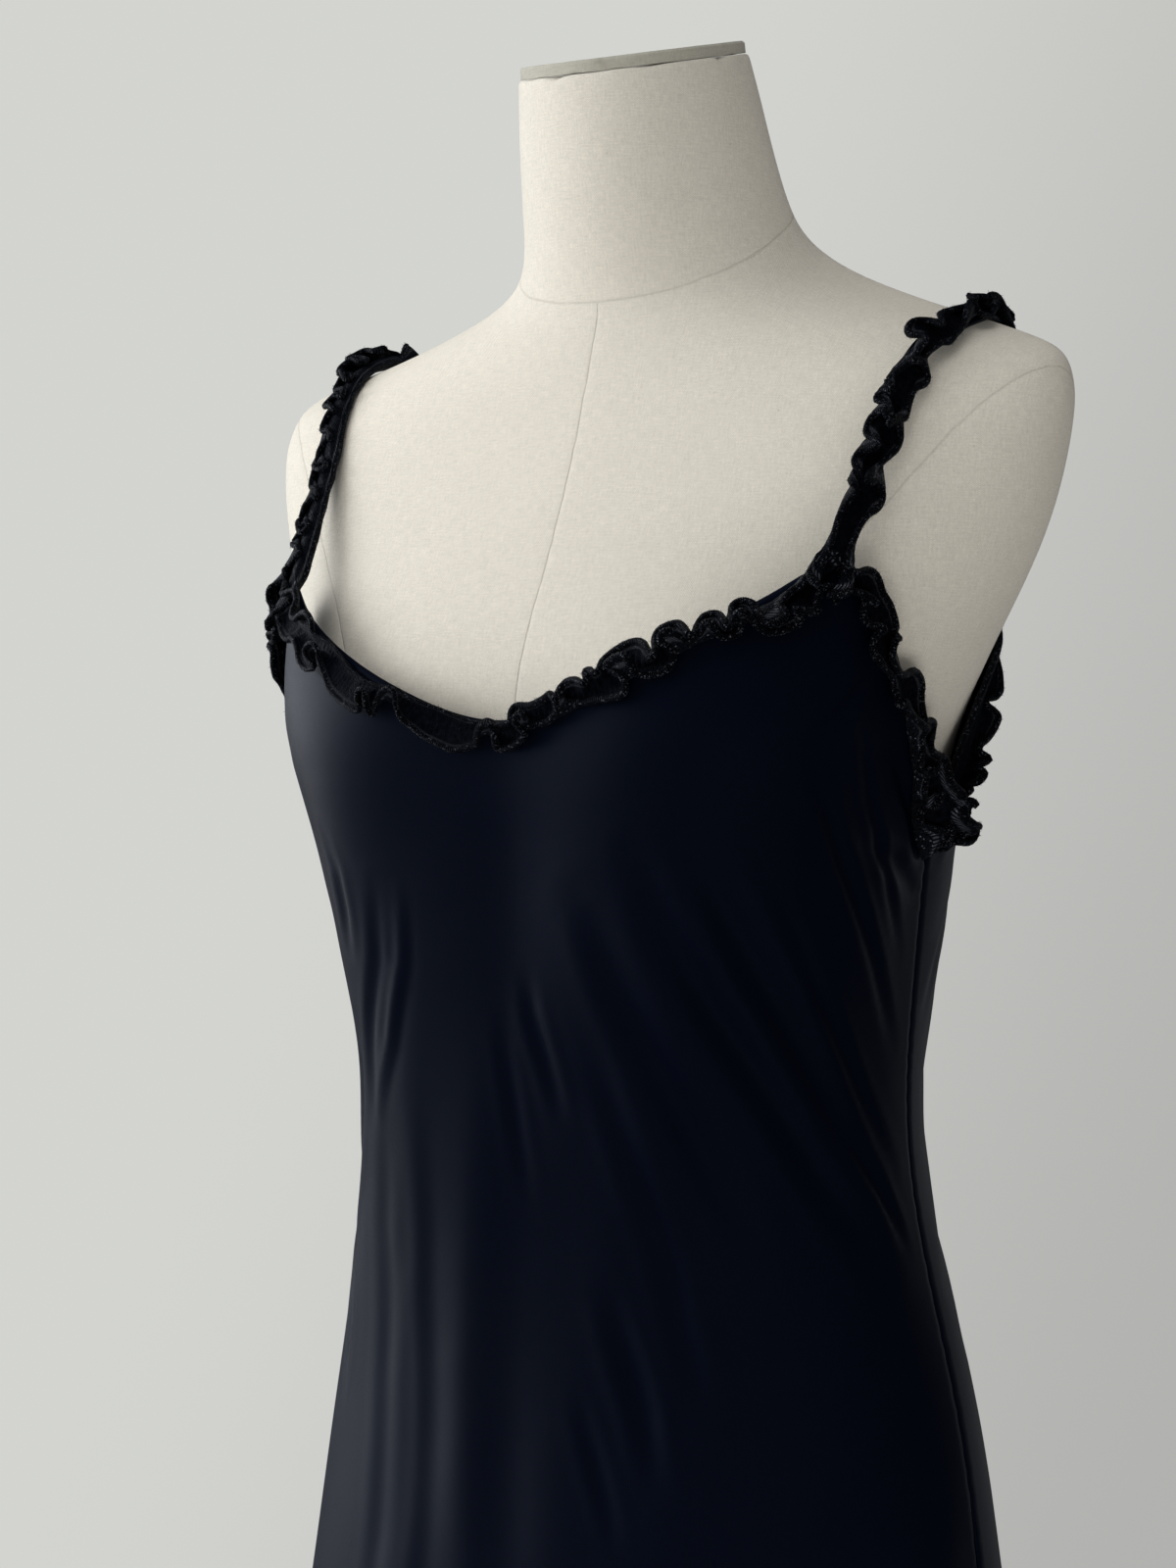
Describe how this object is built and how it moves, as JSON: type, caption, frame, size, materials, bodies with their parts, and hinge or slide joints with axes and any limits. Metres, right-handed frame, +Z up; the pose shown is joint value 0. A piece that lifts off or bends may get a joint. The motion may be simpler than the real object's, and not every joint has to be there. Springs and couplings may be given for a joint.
{
  "type": "slip dress on a limbless dress form with its stand",
  "caption": "Sleeveless slip dress with ruffled straps and edges, worn by a limbless linen dress form on a pole with a round base.",
  "frame": {"origin": "on the floor, in the middle of the round base", "axes": "+Z up along the pole, +X to the wearer's left, -Y out of the dress's front"},
  "size_m": [0.4172, 0.4, 1.5194],
  "materials": {
    "linen": "fine plain-woven linen stretched over the form",
    "black_jersey": "fine matt jersey with a soft sheen",
    "black_velvet": "gathered velvet strip with overlocked, cord-like edges",
    "steel_tube": "satin black lacquer",
    "painted_iron": "satin black powder coat"
  },
  "bodies": {
    "root": {"form_torso": "linen", "form_neck_cap": "linen", "stand_pole": "steel_tube", "stand_base": "painted_iron", "dress_front": "black_jersey", "dress_back": "black_jersey", "strap_left": "black_jersey", "strap_right": "black_jersey", "strap_ruffle_left": "black_velvet", "strap_ruffle_right": "black_velvet", "neckline_ruffle_front": "black_velvet", "neckline_ruffle_back": "black_velvet", "armhole_ruffle_front_left": "black_velvet", "armhole_ruffle_front_right": "black_velvet", "armhole_ruffle_back_left": "black_velvet", "armhole_ruffle_back_right": "black_velvet"}
  },
  "joints": []
}
